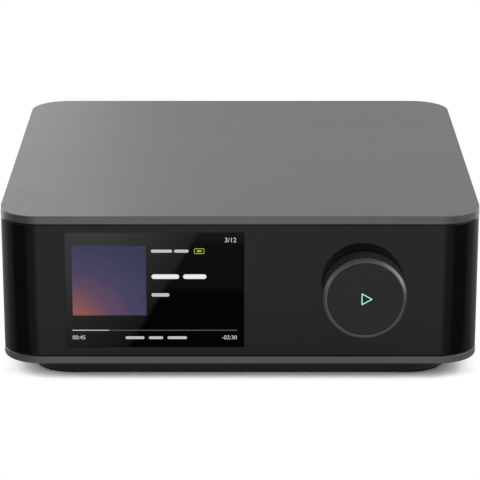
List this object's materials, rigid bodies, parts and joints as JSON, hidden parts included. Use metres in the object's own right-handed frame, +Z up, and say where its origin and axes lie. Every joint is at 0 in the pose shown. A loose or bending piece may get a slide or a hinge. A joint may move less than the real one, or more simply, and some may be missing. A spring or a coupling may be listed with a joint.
{
  "type": "streaming amplifier",
  "caption": "Low square streaming amplifier: aluminium case, glossy wrap-round front with screen, turning volume knob with push cap, rear sockets and speaker posts.",
  "frame": {"origin": "on the table, under the middle of the case and its protrusions", "axes": "+X to the right seen from the front, +Y from the front to the rear, +Z up"},
  "size_m": [0.2, 0.215, 0.073],
  "materials": {
    "case_aluminium": "fine blasted, anodised space grey, satin",
    "band_aluminium": "anodised grey, satin",
    "gloss_black": "polished black",
    "screen_glass": "polished, black behind",
    "knob_aluminium": "anodised dark grey, satin",
    "knob_face": "satin black",
    "clear_plastic": "clear acrylic",
    "black_moulding": "moulded matt black",
    "rear_black": "fine spark-eroded black",
    "black_plastic": "satin black",
    "red_plastic": "satin red",
    "white_plastic": "satin white",
    "rubber": "matt",
    "nickel": "nickel plated",
    "steel": "zinc plated",
    "brass": "plain",
    "circuit_board": "green solder mask",
    "cable_film": "amber film",
    "ferrite": "dark ferrite"
  },
  "bodies": {
    "chassis": {"amp_chips": "black_moulding", "base_plate": "band_aluminium", "black_collars": "black_plastic", "board_links": "brass", "board_screws": "steel", "capacitors": "black_plastic", "case_screws": "steel", "display_backing": "steel", "display_glass": "screen_glass", "display_module": "steel", "encoder_body": "black_moulding", "encoder_cover": "steel", "encoder_nut": "nickel", "flat_cables": "cable_film", "foot_pads": "rubber", "front_frame": "black_moulding", "front_panel": "gloss_black", "hdmi_socket": "nickel", "heat_sink": "case_aluminium", "housing": "case_aluminium", "inlet_body": "rear_black", "inlet_pins": "nickel", "knob_board": "circuit_board", "lan_socket": "nickel", "main_board": "circuit_board", "mains_choke": "ferrite", "optical_socket": "rear_black", "output_inductors": "ferrite", "phono_barrels": "nickel", "phono_black": "black_plastic", "phono_block": "black_moulding", "phono_red": "red_plastic", "phono_white": "white_plastic", "plinth": "black_moulding", "power_board": "circuit_board", "press_switch": "black_moulding", "rear_panel": "rear_black", "red_collars": "red_plastic", "shield_can": "steel", "speaker_studs": "nickel", "standoffs": "brass", "stud_nuts": "nickel", "terminal_board": "circuit_board", "transformer": "ferrite", "trigger_jack": "rear_black", "usb_socket": "nickel", "wifi_antennas": "circuit_board"},
    "volume_ring": {"volume_ring": "knob_aluminium", "encoder_rotor": "nickel"},
    "press_cap": {"press_cap": "knob_face", "light_guide": "clear_plastic"},
    "optical_shutter": {"optical_shutter": "black_plastic"},
    "clamp_1": {"clamp_ring_1": "nickel"},
    "cap_1": {"post_cap_1": "black_plastic"},
    "clamp_2": {"clamp_ring_2": "nickel"},
    "cap_2": {"post_cap_2": "red_plastic"},
    "clamp_3": {"clamp_ring_3": "nickel"},
    "cap_3": {"post_cap_3": "black_plastic"},
    "clamp_4": {"clamp_ring_4": "nickel"},
    "cap_4": {"post_cap_4": "red_plastic"}
  },
  "joints": [
    {"name": "volume_turn", "type": "hinge", "parent": "chassis", "child": "volume_ring", "pos_m": [0.0514, -0.1, 0.041], "axis": [0, 1, 0], "continuous": true},
    {"name": "cap_press", "type": "slide", "parent": "chassis", "child": "press_cap", "axis": [0, 1, 0], "range_m": [0, 0.0006], "stiffness_N_per_m": 3000, "springref_m": -0.0002},
    {"name": "shutter_swing", "type": "hinge", "parent": "chassis", "child": "optical_shutter", "pos_m": [0.00427, 0.09365, 0.0273], "axis": [-1, 0, 0], "range_deg": [0, 80], "stiffness_Nm_per_rad": 0.0002},
    {"name": "clamp_1_slide", "type": "slide", "parent": "chassis", "child": "clamp_1", "axis": [0, 1, 0], "range_m": [0, 0.00375]},
    {"name": "cap_1_turn", "type": "hinge", "parent": "clamp_1", "child": "cap_1", "pos_m": [-0.065, 0.1, 0.05], "axis": [0, 1, 0], "range_deg": [0, 1800]},
    {"name": "clamp_2_slide", "type": "slide", "parent": "chassis", "child": "clamp_2", "axis": [0, 1, 0], "range_m": [0, 0.00375]},
    {"name": "cap_2_turn", "type": "hinge", "parent": "clamp_2", "child": "cap_2", "pos_m": [-0.046, 0.1, 0.05], "axis": [0, 1, 0], "range_deg": [0, 1800]},
    {"name": "clamp_3_slide", "type": "slide", "parent": "chassis", "child": "clamp_3", "axis": [0, 1, 0], "range_m": [0, 0.00375]},
    {"name": "cap_3_turn", "type": "hinge", "parent": "clamp_3", "child": "cap_3", "pos_m": [-0.027, 0.1, 0.05], "axis": [0, 1, 0], "range_deg": [0, 1800]},
    {"name": "clamp_4_slide", "type": "slide", "parent": "chassis", "child": "clamp_4", "axis": [0, 1, 0], "range_m": [0, 0.00375]},
    {"name": "cap_4_turn", "type": "hinge", "parent": "clamp_4", "child": "cap_4", "pos_m": [-0.008, 0.1, 0.05], "axis": [0, 1, 0], "range_deg": [0, 1800]}
  ],
  "couplings": [
    {"joint": "cap_1_turn", "follows": "clamp_1_slide", "rad_per_m": 8377.5},
    {"joint": "cap_2_turn", "follows": "clamp_2_slide", "rad_per_m": 8377.5},
    {"joint": "cap_3_turn", "follows": "clamp_3_slide", "rad_per_m": 8377.5},
    {"joint": "cap_4_turn", "follows": "clamp_4_slide", "rad_per_m": 8377.5}
  ]
}
